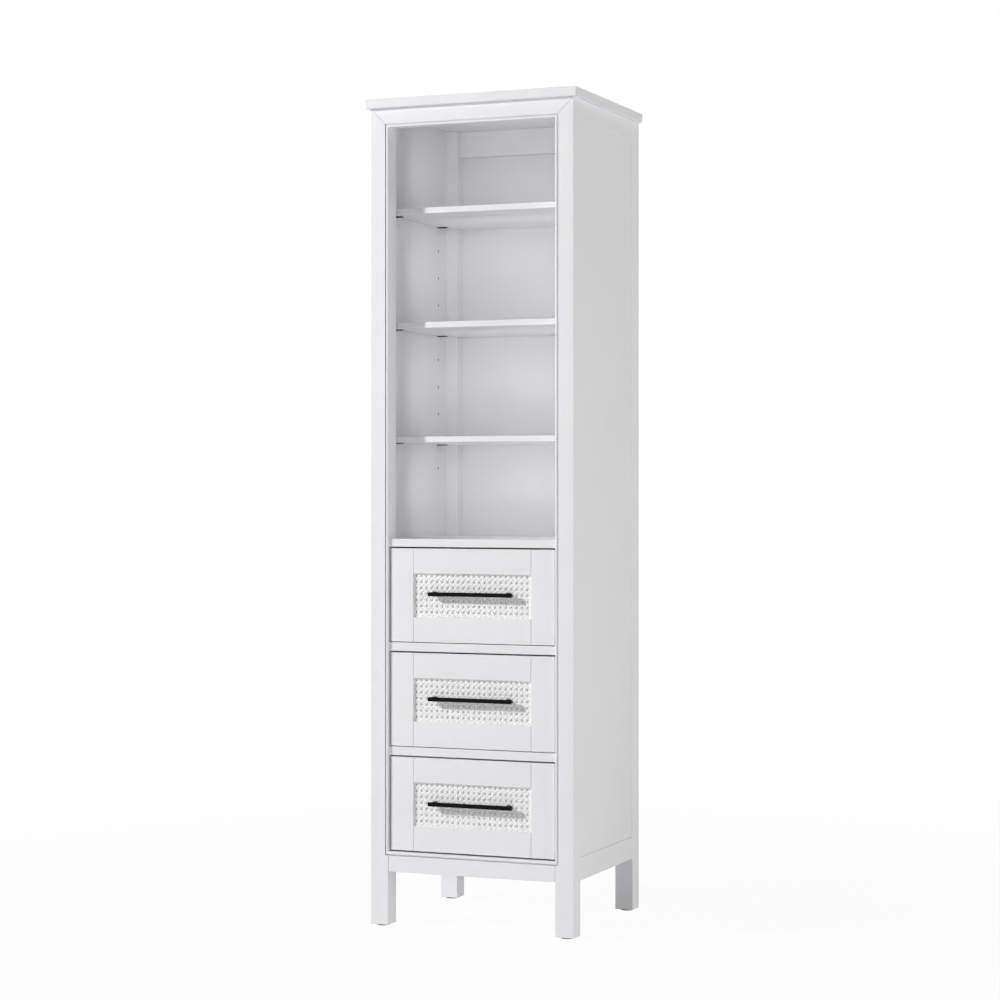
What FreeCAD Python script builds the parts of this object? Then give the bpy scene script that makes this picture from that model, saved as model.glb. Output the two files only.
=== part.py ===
"""Tall white bathroom cabinet: an open shelf bay above three cane-fronted drawers.

X runs to the right, Y runs from the front to the wall and Z runs up. The origin is on the floor,
under the middle of the cabinet's box. All lengths are in millimetres.
"""
import FreeCAD, Part
import math
import os
import re
import Sketcher

SIZES = {
    # Whole cabinet
    "total_height": 1676,
    "body_width": 440,
    "body_depth": 391,
    "top_thickness": 19,
    "top_overhang": 8.5,
    "top_edge": 1.6,
    # Corner posts and their floor glides
    "leg_size": 39,
    "leg_edge": 1.2,
    "glide_height": 3,
    "glide_diameter": 27,
    "glide_edge": 1,
    # Face frame with its quirk and bead
    "face_depth": 18,
    "face_edge": 0.5,
    "joint_groove": 0.8,
    "joint_groove_depth": 2,
    "bead_width": 5,
    "bead_depth": 6,
    "head_bead_depth": 3,
    "quirk_width": 2,
    "sill_extra": 1.5,
    "apron_clearance": 111,
    "apron_height": 32.5,
    "apron_setback": 0.5,
    # Sides
    "panel_thickness": 12,
    "panel_setback": 2,
    "side_rail_setback": 0.5,
    "side_rail_upper_height": 40,
    "side_rail_lower_height": 46,
    # Back
    "back_thickness": 5,
    "back_setback": 0.5,
    "back_rebate_width": 8,
    "back_panel_gap": 0.5,
    "back_rail_thickness": 14,
    "back_rail_upper_height": 55,
    "back_rail_lower_height": 46,
    # Boards inside
    "board_edge": 0.8,
    "deck_thickness": 16,
    "bottom_thickness": 12,
    "divider_height": 17.5,
    "divider_depth": 45,
    # Shelves, pin holes and shelf supports
    "shelf_thickness": 12,
    "shelf_end_gap": 0.5,
    "shelf_clearance": 1,
    "shelf_setback": 9,
    "first_pin_rise": 145,
    "pin_top_margin": 150,
    "pin_pitch": 58.2,
    "pin_inset": 43,
    "pin_hole_diameter": 5,
    "pin_hole_depth": 9,
    "pin_clearance": 0.1,
    "spare_pin_rows": 1,
    "support_thickness": 1.5,
    "support_width": 14,
    "support_reach": 19,
    "support_rise": 11,
    "support_pin_rise": 7.5,
    # Drawer fronts
    "drawer_setback": 6,
    "drawer_front_height": 189,
    "drawer_front_thickness": 19,
    "drawer_upper_gap": 3,
    "drawer_lower_gap": 1.5,
    "sill_gap": 3,
    "drawer_side_gap": 3,
    "drawer_edge": 0.7,
    "stile_width": 50,
    "front_rail_width": 50.5,
    "panel_recess": 8,
    # Drawer boxes
    "box_rear_gap": 10.5,
    "box_height": 130,
    "box_lift": 24,
    "box_side_thickness": 12,
    "box_end_thickness": 12,
    "box_bottom_thickness": 6,
    "box_bottom_lift": 10,
    "groove_depth": 5,
    "groove_gap": 0.5,
    # Drawer slides
    "slide_space": 12.7,
    "slide_gap": 0.3,
    "slide_height": 45,
    "slide_step": 4,
    "slide_lip": 4,
    "slide_web": 1.6,
    "slide_inset": 3,
    "cleat_height": 60,
    # Pulls and their screws
    "pull_length": 180,
    "pull_centres": 160,
    "pull_bar": 8,
    "pull_edge": 0.7,
    "pull_projection": 22,
    "pull_rise": 3,
    "pull_post_diameter": 10,
    "screw_diameter": 4,
    "screw_clearance": 0.2,
    "screw_thread_depth": 10,
    "screw_head_diameter": 8,
    "screw_head_height": 2.5,
    # One overrun for every cut
    "cut_overrun": 1,
}
BEAD_ROUND_SHARE = 0.48
MITRE_STRETCH = math.sqrt(2)
CLOSE = 1e-4
DRAWERS = ("lower", "middle", "upper")

# Planes and spans that several pieces share, written in the driving dimensions
HALF_WIDTH = "(body_width / 2)"
FRONT = "((top_overhang - body_depth) / 2)"
REAR = "((top_overhang + body_depth) / 2)"
BODY_TOP = "(total_height - top_thickness)"
LEG_HEIGHT = f"({BODY_TOP} - glide_height)"
LEG_REAR = f"({FRONT} + leg_size)"
POST_FRONT = f"({REAR} - leg_size)"
SIDE_SPAN = "(body_depth - 2 * leg_size)"
OPENING_HALF = "(body_width / 2 - leg_size)"
OPENING_WIDTH = "(body_width - 2 * leg_size)"
SIDE_INNER = "(body_width / 2 - panel_setback - panel_thickness)"
STRIP_WIDTH = "(bead_width + quirk_width)"
APRON_TOP = "(apron_clearance + apron_height)"
OPENING_BOTTOM = f"({APRON_TOP} + {STRIP_WIDTH} + sill_extra)"
OPENING_TOP = f"({BODY_TOP} - leg_size)"
BACK_INNER = f"({REAR} - back_setback - back_thickness)"
DRAWER_PITCH = "(drawer_front_height + drawer_upper_gap + drawer_lower_gap + divider_height)"
DRAWERS_BOTTOM = f"({OPENING_BOTTOM} + sill_gap - drawer_lower_gap)"
DECK_BOTTOM = f"({DRAWERS_BOTTOM} + {len(DRAWERS)} * {DRAWER_PITCH} - divider_height)"
FIRST_PIN = f"({DECK_BOTTOM} + deck_thickness + first_pin_rise)"
LAST_ROW = f"floor(({OPENING_TOP} - pin_top_margin - {FIRST_PIN}) / pin_pitch)"
SHELF_ROWS = {
    "lower": "spare_pin_rows",
    "middle": f"floor((spare_pin_rows + {LAST_ROW}) / 2)",
    "upper": LAST_ROW,
}
DRAWER_FACE = f"({FRONT} + drawer_setback)"
DRAWER_BACK = f"({DRAWER_FACE} + drawer_front_thickness)"
DRAWER_WIDTH = f"({OPENING_WIDTH} - 2 * drawer_side_gap)"
INSET_WIDTH = f"({DRAWER_WIDTH} - 2 * stile_width)"
INSET_FACE = f"({DRAWER_FACE} + panel_recess)"
BOX_WIDTH = f"({OPENING_WIDTH} - 2 * slide_space)"
BOX_INNER_WIDTH = f"({BOX_WIDTH} - 2 * box_side_thickness)"
BOX_DEPTH = f"({BACK_INNER} - box_rear_gap - {DRAWER_BACK})"
SLIDE_MEMBER = "((slide_space - 2 * slide_gap) / 3)"
SLIDE_FRONT = f"({DRAWER_BACK} + slide_inset)"
SLIDE_MIDDLE_OFFSET = "(box_height / 2 + box_lift)"

doc = FreeCAD.newDocument("BathroomCabinet")
sheet = doc.addObject("Spreadsheet::Sheet", "Sizes")
for row, (alias, number) in enumerate(SIZES.items(), start=1):
    sheet.set(f"A{row}", alias)
    sheet.set(f"B{row}", str(number))
    sheet.setAlias(f"B{row}", alias)
doc.recompute()
nodes = []


def formula(text):
    """Turn the sizes named in a sum into references to the sheet, and leave functions as they are."""
    return re.sub(r"\b[a-z_]+\b(?!\()", lambda word: "Sizes." + word.group(), text)


def bind(item, **sums):
    """Bind an object's properties to sums of sizes."""
    for name, text in sums.items():
        item.setExpression(name, formula(text))


def move(item, at):
    """Bind an object's place to three sums."""
    for axis, text in zip("xyz", at):
        item.setExpression(f"Placement.Base.{axis}", formula(text))


def new_body(label, at):
    """Start a body whose own corner or centre lies at a place in the cabinet."""
    body = doc.addObject("PartDesign::Body", label)
    body.Label = label
    move(body, at)
    return body


def origin_feature(body, role):
    """Find one of a body's own origin planes or axes."""
    return next(item for item in body.Origin.OriginFeatures if item.Role == role)


def settle(body, name, before):
    """Recompute after a cut and make sure that it took material away."""
    doc.recompute()
    if body.Shape.Volume >= before:
        raise RuntimeError(f"{body.Label}: {name} cuts nothing")


def block(body, name, size, at=("0", "0", "0")):
    """Add a box to a body."""
    box = body.newObject("PartDesign::AdditiveBox", name)
    bind(box, Length=size[0], Width=size[1], Height=size[2])
    move(box, at)
    doc.recompute()
    return box


def cut_block(body, name, size, at):
    """Cut a box out of a body."""
    before = body.Shape.Volume
    box = body.newObject("PartDesign::SubtractiveBox", name)
    bind(box, Length=size[0], Width=size[1], Height=size[2])
    move(box, at)
    settle(body, name, before)


AXIS_TURNS = {
    "x": FreeCAD.Rotation(FreeCAD.Vector(0, 1, 0), 90),
    "y": FreeCAD.Rotation(FreeCAD.Vector(1, 0, 0), -90),
    "z": FreeCAD.Rotation(),
}


def rod(body, name, axis, diameter, length, at=("0", "0", "0")):
    """Add a cylinder that runs from a point along +X, +Y or +Z."""
    cylinder = body.newObject("PartDesign::AdditiveCylinder", name)
    cylinder.Placement = FreeCAD.Placement(FreeCAD.Vector(), AXIS_TURNS[axis])
    bind(cylinder, Radius=f"({diameter}) / 2", Height=length)
    move(cylinder, at)
    doc.recompute()
    return cylinder


def bore(body, name, axis, diameter, length, at):
    """Cut a round hole that runs from a point along +X, +Y or +Z."""
    before = body.Shape.Volume
    cylinder = body.newObject("PartDesign::SubtractiveCylinder", name)
    cylinder.Placement = FreeCAD.Placement(FreeCAD.Vector(), AXIS_TURNS[axis])
    bind(cylinder, Radius=f"({diameter}) / 2", Height=length)
    move(cylinder, at)
    settle(body, name, before)
    return cylinder


def outline(body, name, plane, points, setback="0"):
    """Draw a closed outline whose corners are pairs of sums, set back from one of the body's planes."""
    sketch = body.newObject("Sketcher::SketchObject", name)
    sketch.AttachmentSupport = (origin_feature(body, plane), [""])
    sketch.MapMode = "FlatFace"
    sketch.setExpression("AttachmentOffset.Base.z", formula(f"0 - {setback}"))
    count = len(points)
    turn = 2 * math.pi / count
    first_guess = [FreeCAD.Vector(math.cos(turn * k), math.sin(turn * k), 0) for k in range(count)]
    for k in range(count):
        sketch.addGeometry(Part.LineSegment(first_guess[k], first_guess[(k + 1) % count]))
    for k in range(count):
        sketch.addConstraint(Sketcher.Constraint("Coincident", k, 2, (k + 1) % count, 1))
    for k, (across, along) in enumerate(points):
        for kind, text in (("DistanceX", across), ("DistanceY", along)):
            index = sketch.addConstraint(Sketcher.Constraint(kind, -1, 1, k, 1, 1))
            sketch.setExpression(f"Constraints[{index}]", formula(text))
    return sketch


def prism(body, name, plane, points, length, setback="0"):
    """Pad an outline: along +Y from the XZ plane, along +Z from the XY plane."""
    pad = body.newObject("PartDesign::Pad", name)
    pad.Profile = outline(body, name + "Outline", plane, points, setback)
    pad.Reversed = plane == "XZ_Plane"
    bind(pad, Length=length)
    doc.recompute()
    return pad


def in_front_plane(edge, feature):
    """Tell whether an edge lies in a feature's foremost plane."""
    return math.isclose(edge.BoundBox.YMax, feature.Shape.BoundBox.YMin, abs_tol=CLOSE)


def ease(body, feature, radius, keep=None):
    """Round a feature's edges: all of them, or those that keep picks."""
    fillet = body.newObject("PartDesign::Fillet", "Eased")
    edges = feature.Shape.Edges
    chosen = [f"Edge{k + 1}" for k, edge in enumerate(edges) if keep is None or keep(edge)]
    fillet.Base = (feature, chosen)
    fillet.UseAllEdges = keep is None
    bind(fillet, Radius=radius)
    doc.recompute()


def board(label, size, at, edge="board_edge"):
    """Make a plain board with slightly rounded edges."""
    body = new_body(label, at)
    blank = block(body, "Blank", size)
    ease(body, blank, edge)
    return body


def groove_ends(body, length, height):
    """Cut a narrow groove down the front of both ends of a board, where it meets its neighbours."""
    size = ("joint_groove + cut_overrun", "joint_groove_depth + cut_overrun", f"{height} + 2 * cut_overrun")
    for side, place in (("Left", "0 - cut_overrun"), ("Right", f"{length} - joint_groove")):
        cut_block(body, f"JointGroove{side}", size, (place, "0 - cut_overrun", "0 - cut_overrun"))


def mirrored(label, source):
    """Make the right-hand twin of a left-hand piece."""
    twin = doc.addObject("Part::Mirroring", label)
    twin.Label = label
    twin.Source = source
    twin.Normal = FreeCAD.Vector(1, 0, 0)
    doc.recompute()
    return twin


def keep_node(piece):
    """List a finished piece as one of the cabinet's nodes."""
    nodes.append(piece)
    return piece


def keep_group(label, pieces):
    """List like pieces as one node of separate solids."""
    group = doc.addObject("Part::Compound", label)
    group.Label = label
    group.Links = pieces
    return keep_node(group)


def with_twin(label, source):
    """List a left-hand piece and its twin as one node."""
    return keep_group(label, [source, mirrored(source.Label + "_twin", source)])


def make_top():
    size = ("body_width + 2 * top_overhang", "body_depth + top_overhang", "top_thickness")
    at = (f"0 - {HALF_WIDTH} - top_overhang", f"{FRONT} - top_overhang", BODY_TOP)
    keep_node(board("top_panel", size, at, "top_edge"))


def make_front_legs():
    """Front posts with a rebate for the bead strip and a mitre for the face rail."""
    leg = board(
        "leg_front_left",
        ("leg_size", "leg_size", LEG_HEIGHT),
        (f"0 - {HALF_WIDTH}", FRONT, "glide_height"),
        "leg_edge",
    )
    cut_block(
        leg,
        "BeadRebate",
        (
            f"{STRIP_WIDTH} + cut_overrun",
            "face_depth + cut_overrun",
            f"{OPENING_TOP} + {STRIP_WIDTH} - {APRON_TOP}",
        ),
        (f"leg_size - {STRIP_WIDTH}", "0 - cut_overrun", f"{APRON_TOP} - glide_height"),
    )
    before = leg.Shape.Volume
    corner = [
        ("0 - cut_overrun", f"{LEG_HEIGHT} + cut_overrun"),
        ("leg_size + cut_overrun", f"{LEG_HEIGHT} + cut_overrun"),
        ("leg_size + cut_overrun", f"{LEG_HEIGHT} - leg_size - cut_overrun"),
    ]
    mitre = leg.newObject("PartDesign::Pocket", "Mitre")
    mitre.Profile = outline(leg, "MitreOutline", "XZ_Plane", corner)
    bind(mitre, Length="face_depth")
    settle(leg, "Mitre", before)
    keep_node(leg)
    keep_node(mirrored("leg_front_right", leg))


def make_rear_legs():
    """Rear posts with a rebate that takes the back panel."""
    leg = board(
        "leg_rear_left",
        ("leg_size", "leg_size", LEG_HEIGHT),
        (f"0 - {HALF_WIDTH}", POST_FRONT, "glide_height"),
        "leg_edge",
    )
    cut_block(
        leg,
        "BackRebate",
        (
            "back_rebate_width + cut_overrun",
            "back_setback + back_thickness + cut_overrun",
            f"{BODY_TOP} - apron_clearance + cut_overrun",
        ),
        (
            "leg_size - back_rebate_width",
            "leg_size - back_setback - back_thickness",
            "apron_clearance - glide_height",
        ),
    )
    keep_node(leg)
    keep_node(mirrored("leg_rear_right", leg))


def make_glides():
    """Round plastic glides, one under the middle of each post."""
    glides = []
    for end, row in (("front", f"{FRONT} + leg_size / 2"), ("rear", f"{REAR} - leg_size / 2")):
        glide = new_body(f"glide_{end}_left", (f"leg_size / 2 - {HALF_WIDTH}", row, "0"))
        pad = rod(glide, "Pad", "z", "glide_diameter", "glide_height")
        middle = pad.Shape.CenterOfMass.z
        ease(glide, pad, "glide_edge", lambda edge: edge.Closed and edge.BoundBox.ZMax < middle)
        glides += [glide, mirrored(f"glide_{end}_right", glide)]
    keep_group("foot_glides", glides)


def make_face_rail():
    """Top rail of the face frame, mitred into both front posts with a groove along each mitre."""
    height = f"(leg_size - {STRIP_WIDTH})"
    rail = new_body("face_rail", ("0", FRONT, BODY_TOP))

    def ends(trim):
        return [
            (f"{trim} - {HALF_WIDTH}", "0"),
            (f"{HALF_WIDTH} - {trim}", "0"),
            (f"{HALF_WIDTH} - {height} - {trim}", f"0 - {height}"),
            (f"{height} + {trim} - {HALF_WIDTH}", f"0 - {height}"),
        ]

    prism(rail, "Back", "XZ_Plane", ends("0"), "face_depth - joint_groove_depth", "joint_groove_depth")
    pad = prism(rail, "Face", "XZ_Plane", ends(f"joint_groove * {MITRE_STRETCH}"), "joint_groove_depth")
    ease(rail, pad, "face_edge", lambda edge: in_front_plane(edge, pad))
    keep_node(rail)


def bead_strip(label, corners, depth="bead_depth"):
    """One mitred strip: a flat quirk against the frame and a round bead along the opening."""
    strip = new_body(label, ("0", FRONT, "0"))
    prism(strip, "Back", "XZ_Plane", corners(STRIP_WIDTH), f"face_depth - {depth}", depth)
    bead = prism(strip, "Bead", "XZ_Plane", corners("bead_width"), depth)

    def runs_along_bead(edge):
        return in_front_plane(edge, bead) and edge.Length > SIZES["leg_size"]

    ease(strip, bead, f"bead_width * {BEAD_ROUND_SHARE}", runs_along_bead)
    return strip


def make_bead():
    """Quirk and bead round the opening, mitred, with a shallow head strip and a tall sill strip."""

    def left(width):
        return [
            (f"0 - {OPENING_HALF} - {width}", f"{OPENING_BOTTOM} - {width} - sill_extra"),
            (f"0 - {OPENING_HALF}", OPENING_BOTTOM),
            (f"0 - {OPENING_HALF}", OPENING_TOP),
            (f"0 - {OPENING_HALF} - {width}", f"{OPENING_TOP} + {width}"),
        ]

    def top(width):
        return [
            (f"0 - {OPENING_HALF}", OPENING_TOP),
            (OPENING_HALF, OPENING_TOP),
            (f"{OPENING_HALF} + {width}", f"{OPENING_TOP} + {width}"),
            (f"0 - {OPENING_HALF} - {width}", f"{OPENING_TOP} + {width}"),
        ]

    def bottom(width):
        return [
            (f"0 - {OPENING_HALF} - {width}", f"{OPENING_BOTTOM} - {width} - sill_extra"),
            (f"{OPENING_HALF} + {width}", f"{OPENING_BOTTOM} - {width} - sill_extra"),
            (OPENING_HALF, OPENING_BOTTOM),
            (f"0 - {OPENING_HALF}", OPENING_BOTTOM),
        ]

    left_strip = bead_strip("bead_left", left)
    strips = [left_strip, mirrored("bead_right", left_strip)]
    strips += [bead_strip("bead_top", top, "head_bead_depth"), bead_strip("bead_bottom", bottom)]
    keep_group("opening_bead", strips)


def make_apron():
    size = (OPENING_WIDTH, "face_depth", "apron_height")
    at = (f"0 - {OPENING_HALF}", f"{FRONT} + apron_setback", "apron_clearance")
    apron = board("front_apron", size, at, "face_edge")
    groove_ends(apron, OPENING_WIDTH, "apron_height")
    keep_node(apron)


def make_sides():
    """Side panels with two columns of blind pin holes, and the rails above and below them."""
    panel_bottom = "(apron_clearance + side_rail_lower_height)"
    panel = board(
        "side_panel_left",
        ("panel_thickness", SIDE_SPAN, f"{BODY_TOP} - side_rail_upper_height - {panel_bottom}"),
        (f"panel_setback - {HALF_WIDTH}", LEG_REAR, panel_bottom),
        "face_edge",
    )
    holes = []
    for name, place in (("FrontPin", "pin_inset"), ("RearPin", f"{SIDE_SPAN} - pin_inset")):
        start = ("panel_thickness - pin_hole_depth", place, f"{FIRST_PIN} - {panel_bottom}")
        length = "pin_hole_depth + cut_overrun"
        holes.append(bore(panel, name, "x", "pin_hole_diameter", length, start))
    before = panel.Shape.Volume
    rows = panel.newObject("PartDesign::LinearPattern", "PinRows")
    rows.Originals = holes
    rows.Direction = (origin_feature(panel, "Z_Axis"), [""])
    bind(rows, Length=f"pin_pitch * {LAST_ROW}", Occurrences=f"{LAST_ROW} + 1")
    panel.Tip = rows
    settle(panel, "PinRows", before)
    keep_node(panel)
    keep_node(mirrored("side_panel_right", panel))

    thickness = "panel_thickness + panel_setback - side_rail_setback"
    upper_at = f"{BODY_TOP} - side_rail_upper_height"
    for place, bottom in (("upper", upper_at), ("lower", "apron_clearance")):
        size = (thickness, SIDE_SPAN, f"side_rail_{place}_height")
        at = (f"side_rail_setback - {HALF_WIDTH}", LEG_REAR, bottom)
        rail = board(f"side_rail_{place}_left", size, at, "face_edge")
        with_twin(f"side_rails_{place}", rail)


def make_back():
    """Thin back panel in the rear posts' rebates, with a rail above and below."""
    half = f"({OPENING_HALF} + back_rebate_width - back_panel_gap)"
    size = (f"2 * {half}", "back_thickness", f"{BODY_TOP} - apron_clearance")
    keep_node(board("back_panel", size, (f"0 - {half}", BACK_INNER, "apron_clearance"), "face_edge"))
    upper_at = f"{BODY_TOP} - back_rail_upper_height"
    for place, bottom in (("upper", upper_at), ("lower", "apron_clearance")):
        size = (OPENING_WIDTH, "back_rail_thickness", f"back_rail_{place}_height")
        at = (f"0 - {OPENING_HALF}", f"{BACK_INNER} - back_rail_thickness", bottom)
        keep_node(board(f"back_rail_{place}", size, at, "face_edge"))


def notched_board(label, front, rear, thickness, bottom):
    """A horizontal board that reaches both sides and is notched round the four posts."""
    right_half = [
        (OPENING_HALF, front),
        (OPENING_HALF, LEG_REAR),
        (SIDE_INNER, LEG_REAR),
        (SIDE_INNER, POST_FRONT),
        (OPENING_HALF, POST_FRONT),
        (OPENING_HALF, rear),
    ]
    left_half = [(f"0 - {across}", along) for across, along in reversed(right_half)]
    body = new_body(label, ("0", "0", bottom))
    pad = prism(body, "Blank", "XY_Plane", right_half + left_half, thickness)

    def is_nose(edge):
        return in_front_plane(edge, pad) and edge.BoundBox.XLength > edge.BoundBox.ZLength

    ease(body, pad, "board_edge", is_nose)
    keep_node(body)


def make_inner_boards():
    """Floor of the shelf bay, rails between the drawers and the board under the lowest drawer."""
    notched_board("deck_panel", DRAWER_FACE, BACK_INNER, "deck_thickness", DECK_BOTTOM)
    apron_back = f"{FRONT} + apron_setback + face_depth"
    rail_front = f"{BACK_INNER} - back_rail_thickness"
    underside = f"{APRON_TOP} - bottom_thickness"
    notched_board("bottom_panel", apron_back, rail_front, "bottom_thickness", underside)
    for k, place in enumerate(("lower", "upper"), start=1):
        size = (OPENING_WIDTH, "divider_depth", "divider_height")
        bottom = f"{DRAWERS_BOTTOM} + {k} * {DRAWER_PITCH} - divider_height"
        keep_node(board(f"divider_rail_{place}", size, (f"0 - {OPENING_HALF}", DRAWER_FACE, bottom)))


def notch_shelf(shelf, half, depth):
    """Cut a shelf's rear corners away around the rear posts."""
    width = f"({half} - {OPENING_HALF} + shelf_clearance)"
    reach = f"({BACK_INNER} - {POST_FRONT})"
    size = (f"{width} + cut_overrun", f"{reach} + cut_overrun", "shelf_thickness + 2 * cut_overrun")
    for side, place in (("Left", "0 - cut_overrun"), ("Right", f"2 * {half} - {width}")):
        cut_block(shelf, f"PostNotch{side}", size, (place, f"{depth} - {reach}", "0 - cut_overrun"))


def make_shelves():
    """Three loose shelves that reach the back panel, each on four pinned supports."""
    supports = []
    half = f"({SIDE_INNER} - support_thickness - shelf_end_gap)"
    depth = f"({BACK_INNER} - {LEG_REAR} - shelf_setback - shelf_clearance)"
    columns = (("front", f"{LEG_REAR} + pin_inset"), ("rear", f"{POST_FRONT} - pin_inset"))
    for place, row in SHELF_ROWS.items():
        bottom = f"({FIRST_PIN} + {row} * pin_pitch - support_pin_rise)"
        at = (f"0 - {half}", f"{LEG_REAR} + shelf_setback", bottom)
        shelf = board(f"shelf_{place}", (f"2 * {half}", depth, "shelf_thickness"), at)
        notch_shelf(shelf, half, depth)
        keep_node(shelf)
        for end, column in columns:
            support = new_body(f"support_{place}_{end}_left", (f"0 - {SIDE_INNER}", column, bottom))
            near = "0 - support_width / 2"
            under = "0 - support_thickness"
            upright = ("support_thickness", "support_width", "support_thickness + support_rise")
            block(support, "Upright", upright, ("0", near, under))
            flange = ("support_reach", "support_width", "support_thickness")
            block(support, "Flange", flange, ("0", near, under))
            pin = "pin_hole_depth - pin_clearance"
            pin_width = "pin_hole_diameter - 2 * pin_clearance"
            pin_at = (f"0 - ({pin})", "0", "support_pin_rise")
            rod(support, "Pin", "x", pin_width, f"{pin} + support_thickness", pin_at)
            supports += [support, mirrored(f"support_{place}_{end}_right", support)]
    keep_group("shelf_supports", supports)


def slide_member(label, offset, height, opens_out, drawer_bottom):
    """One left-hand slide member: a shallow channel that opens to the side or to the drawer."""
    middle = f"({drawer_bottom} + {SLIDE_MIDDLE_OFFSET})"
    at = (f"{offset} - {OPENING_HALF}", SLIDE_FRONT, f"{middle} - ({height}) / 2")
    member = new_body(label, at)
    lip, web = SLIDE_MEMBER, "slide_web"
    if opens_out:
        lip, web = "0", f"{SLIDE_MEMBER} - slide_web"
    back = SLIDE_MEMBER if opens_out else "0"
    channel = [
        (back, "0"),
        (lip, "0"),
        (lip, "slide_lip"),
        (web, "slide_lip"),
        (web, f"({height}) - slide_lip"),
        (lip, f"({height}) - slide_lip"),
        (lip, height),
        (back, height),
    ]
    prism(member, "Channel", "XZ_Plane", channel, BOX_DEPTH)
    return member


def make_fixed_slides():
    """Cleats between the posts that carry the outer slide members of every drawer."""
    cleats = []
    members = []
    for k, place in enumerate(DRAWERS):
        bottom = drawer_bottom(k)
        middle = f"({bottom} + {SLIDE_MIDDLE_OFFSET})"
        size = (f"{SIDE_INNER} - {OPENING_HALF}", SIDE_SPAN, "cleat_height")
        at = (f"0 - {SIDE_INNER}", LEG_REAR, f"{middle} - cleat_height / 2")
        cleat = board(f"cleat_{place}_left", size, at)
        cleats += [cleat, mirrored(f"cleat_{place}_right", cleat)]
        member = slide_member(f"slide_outer_{place}_left", "0", "slide_height", False, bottom)
        members += [member, mirrored(f"slide_outer_{place}_right", member)]
    keep_group("slide_cleats", cleats)
    keep_group("slide_outer", members)


def drawer_bottom(k):
    """Lower edge of a drawer front, counted from the lowest drawer."""
    return f"({DRAWERS_BOTTOM} + drawer_lower_gap + {k} * {DRAWER_PITCH})"


def make_drawer_front(name, bottom, middle):
    """Stiles and rails round a recessed panel that the pull is screwed to."""
    stile_size = ("stile_width", "drawer_front_thickness", "drawer_front_height")
    stile_at = (f"0 - {DRAWER_WIDTH} / 2", DRAWER_FACE, bottom)
    with_twin(f"{name}_front_stiles", board(f"{name}_stile_left", stile_size, stile_at, "drawer_edge"))

    rail_size = (INSET_WIDTH, "drawer_front_thickness", "front_rail_width")
    rails = []
    for place, lift in (("lower", "0"), ("upper", "drawer_front_height - front_rail_width")):
        at = (f"0 - {INSET_WIDTH} / 2", DRAWER_FACE, f"{bottom} + {lift}")
        rail = board(f"{name}_rail_{place}", rail_size, at, "drawer_edge")
        groove_ends(rail, INSET_WIDTH, "front_rail_width")
        rails.append(rail)
    keep_group(f"{name}_front_rails", rails)

    panel = new_body(f"{name}_cane_panel", ("0", INSET_FACE, middle))
    height = "(drawer_front_height - 2 * front_rail_width)"
    size = (INSET_WIDTH, "drawer_front_thickness - panel_recess", height)
    block(panel, "Blank", size, (f"0 - {INSET_WIDTH} / 2", "0", f"0 - {height} / 2"))
    screw_holes(panel, "drawer_front_thickness - panel_recess")
    keep_node(panel)


def screw_holes(body, thickness):
    """Two clearance holes for the pull's screws, above the body's origin on a board's front."""
    for side, place in (("Left", "0 - pull_centres / 2"), ("Right", "pull_centres / 2")):
        start = (place, "0 - cut_overrun", "pull_rise")
        width = "screw_diameter + 2 * screw_clearance"
        bore(body, f"ScrewHole{side}", "y", width, f"{thickness} + 2 * cut_overrun", start)


def make_drawer_box(name, bottom, middle):
    """Open box of grooved sides and ends with a thin bottom, on the back of the drawer front."""
    low = f"({bottom} + box_lift)"
    side_size = ("box_side_thickness", BOX_DEPTH, "box_height")
    side = board(f"{name}_box_side_left", side_size, (f"0 - {BOX_WIDTH} / 2", DRAWER_BACK, low))
    groove_length = f"{BOX_DEPTH} + 2 * cut_overrun"
    groove_size = ("groove_depth + cut_overrun", groove_length, "box_bottom_thickness")
    groove_at = ("box_side_thickness - groove_depth", "0 - cut_overrun", "box_bottom_lift")
    cut_block(side, "Groove", groove_size, groove_at)
    with_twin(f"{name}_box_sides", side)

    front = new_body(f"{name}_box_front", ("0", DRAWER_BACK, middle))
    drop = f"({middle} - {low})"
    left = f"0 - {BOX_INNER_WIDTH} / 2"
    block(front, "Blank", (BOX_INNER_WIDTH, "box_end_thickness", "box_height"), (left, "0", f"0 - {drop}"))
    across = f"{BOX_INNER_WIDTH} + 2 * cut_overrun"
    groove_size = (across, "groove_depth + cut_overrun", "box_bottom_thickness")
    groove_at = (f"{left} - cut_overrun", "box_end_thickness - groove_depth", f"box_bottom_lift - {drop}")
    cut_block(front, "Groove", groove_size, groove_at)
    screw_holes(front, "box_end_thickness")
    keep_node(front)

    under = "(box_bottom_lift + box_bottom_thickness)"
    back_size = (BOX_INNER_WIDTH, "box_end_thickness", f"box_height - {under}")
    back_at = (left, f"{DRAWER_BACK} + {BOX_DEPTH} - box_end_thickness", f"{low} + {under}")
    keep_node(board(f"{name}_box_back", back_size, back_at))

    tongue = "(groove_depth - groove_gap)"
    bottom_size = (
        f"{BOX_INNER_WIDTH} + 2 * {tongue}",
        f"{BOX_DEPTH} - box_end_thickness + {tongue}",
        "box_bottom_thickness",
    )
    bottom_front = f"{DRAWER_BACK} + box_end_thickness - {tongue}"
    bottom_at = (f"{left} - {tongue}", bottom_front, f"{low} + box_bottom_lift")
    body = new_body(f"{name}_box_bottom", bottom_at)
    block(body, "Blank", bottom_size)
    keep_node(body)


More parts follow.
